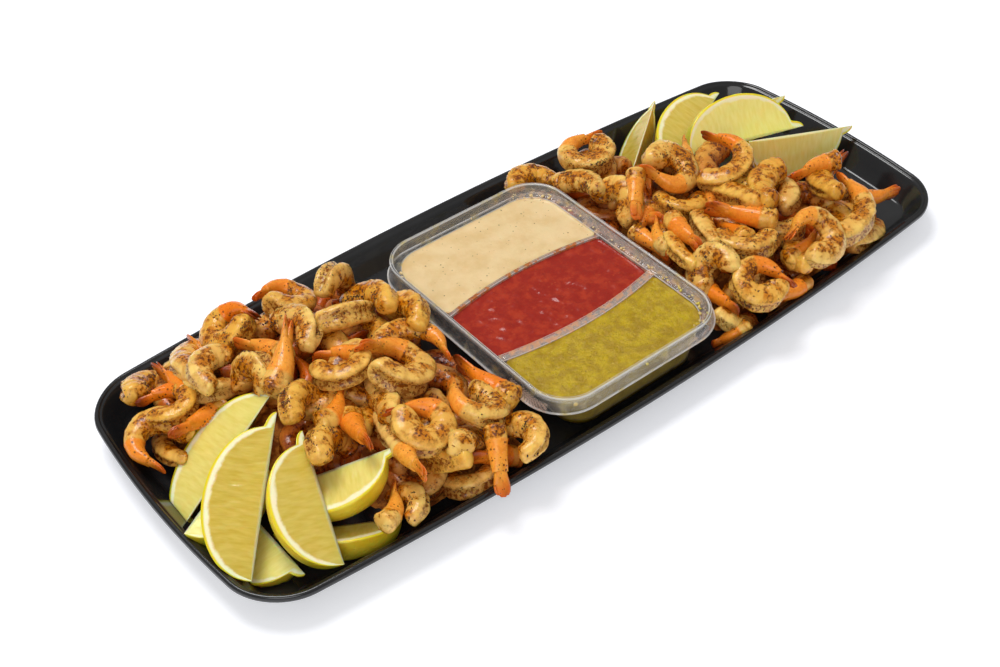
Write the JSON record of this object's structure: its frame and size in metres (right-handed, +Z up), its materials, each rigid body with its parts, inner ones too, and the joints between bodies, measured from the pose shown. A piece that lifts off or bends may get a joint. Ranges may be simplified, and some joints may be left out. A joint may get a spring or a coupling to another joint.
{
  "type": "shrimp cocktail platter",
  "caption": "Long black serving tray with two heaps of seasoned tail-on shrimps, a clear three-part dip container between them and lemon wedges at two corners.",
  "frame": {"origin": "centre of the tray's underside, on the face it rests on", "axes": "+Z up, +X along the tray's length, +Y across it towards the long side by the creamy dip"},
  "size_m": [0.4562, 0.186, 0.0556],
  "materials": {
    "tray_plastic": "satin gloss, near black",
    "clear_plastic": "clear thin moulded plastic",
    "cream_dip": "smooth, softly glossy, with small herb flecks",
    "red_sauce": "chunky, wet",
    "green_dip": "fine-grained, moist",
    "lemon": "satin rind, pale pith and wet translucent flesh",
    "shrimp": "moist cooked flesh with browned seasoning, orange tail shells"
  },
  "bodies": {
    "root": {"tray": "tray_plastic", "dip_container": "clear_plastic", "cream_dip": "cream_dip", "red_sauce": "red_sauce", "green_dip": "green_dip", "lemon_wedge_1": "lemon", "lemon_wedge_2": "lemon", "lemon_wedge_3": "lemon", "lemon_wedge_4": "lemon", "lemon_wedge_5": "lemon", "lemon_wedge_6": "lemon", "lemon_wedge_7": "lemon", "lemon_wedge_8": "lemon", "lemon_wedge_9": "lemon", "lemon_wedge_10": "lemon", "lemon_wedge_11": "lemon", "lemon_wedge_12": "lemon", "shrimp_heap_left": "shrimp", "shrimp_heap_right": "shrimp"}
  },
  "joints": []
}
